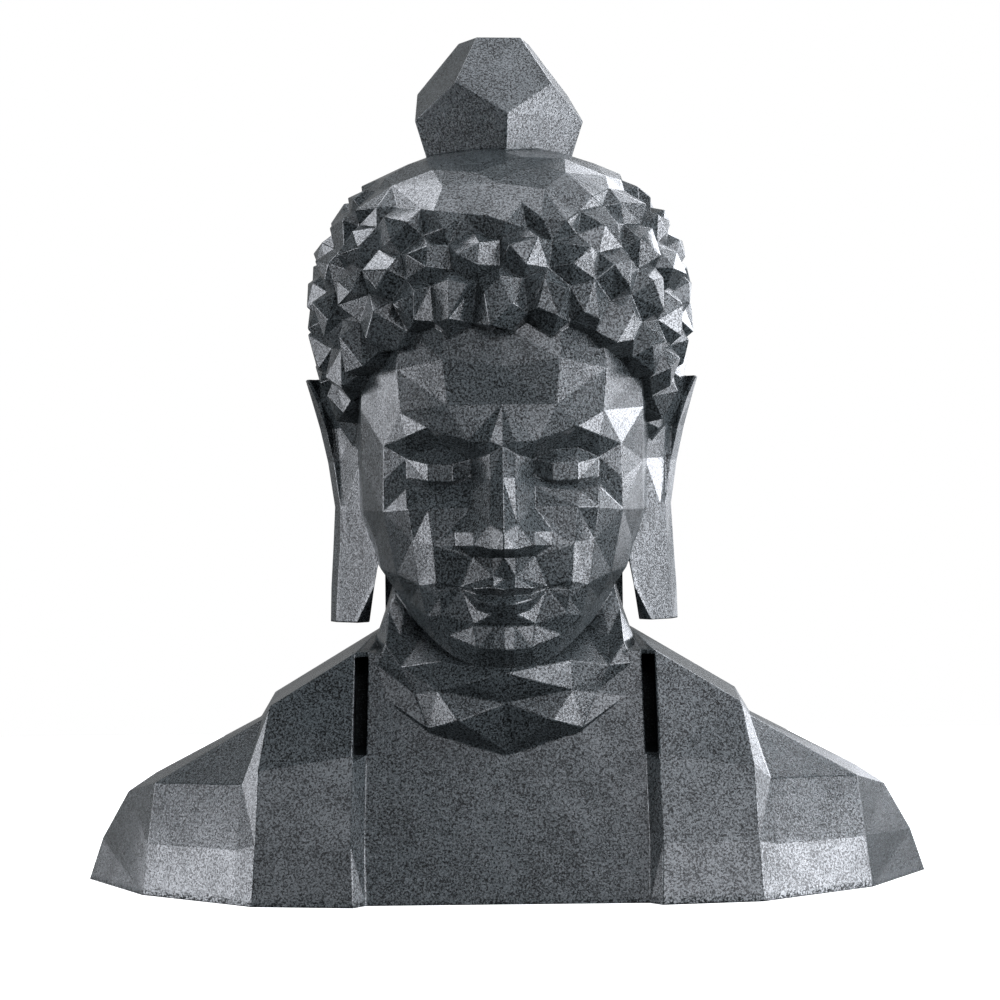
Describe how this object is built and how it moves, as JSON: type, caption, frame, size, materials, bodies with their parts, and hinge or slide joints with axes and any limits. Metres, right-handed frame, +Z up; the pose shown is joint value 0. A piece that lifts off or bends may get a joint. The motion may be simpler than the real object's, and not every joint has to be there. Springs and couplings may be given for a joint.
{
  "type": "buddha bust statue",
  "caption": "Faceted bust of a Buddha with closed eyes, long ears, curled hair and a topknot, cast in dark speckled stone.",
  "frame": {"origin": "on the floor, in the middle of the bust's flat underside", "axes": "+Z up, the bust looks towards -Y, its left shoulder at +X"},
  "size_m": [0.598, 0.3187, 0.594],
  "materials": {
    "speckled_stone": "satin"
  },
  "bodies": {
    "root": {"buddha_bust": "speckled_stone"}
  },
  "joints": []
}
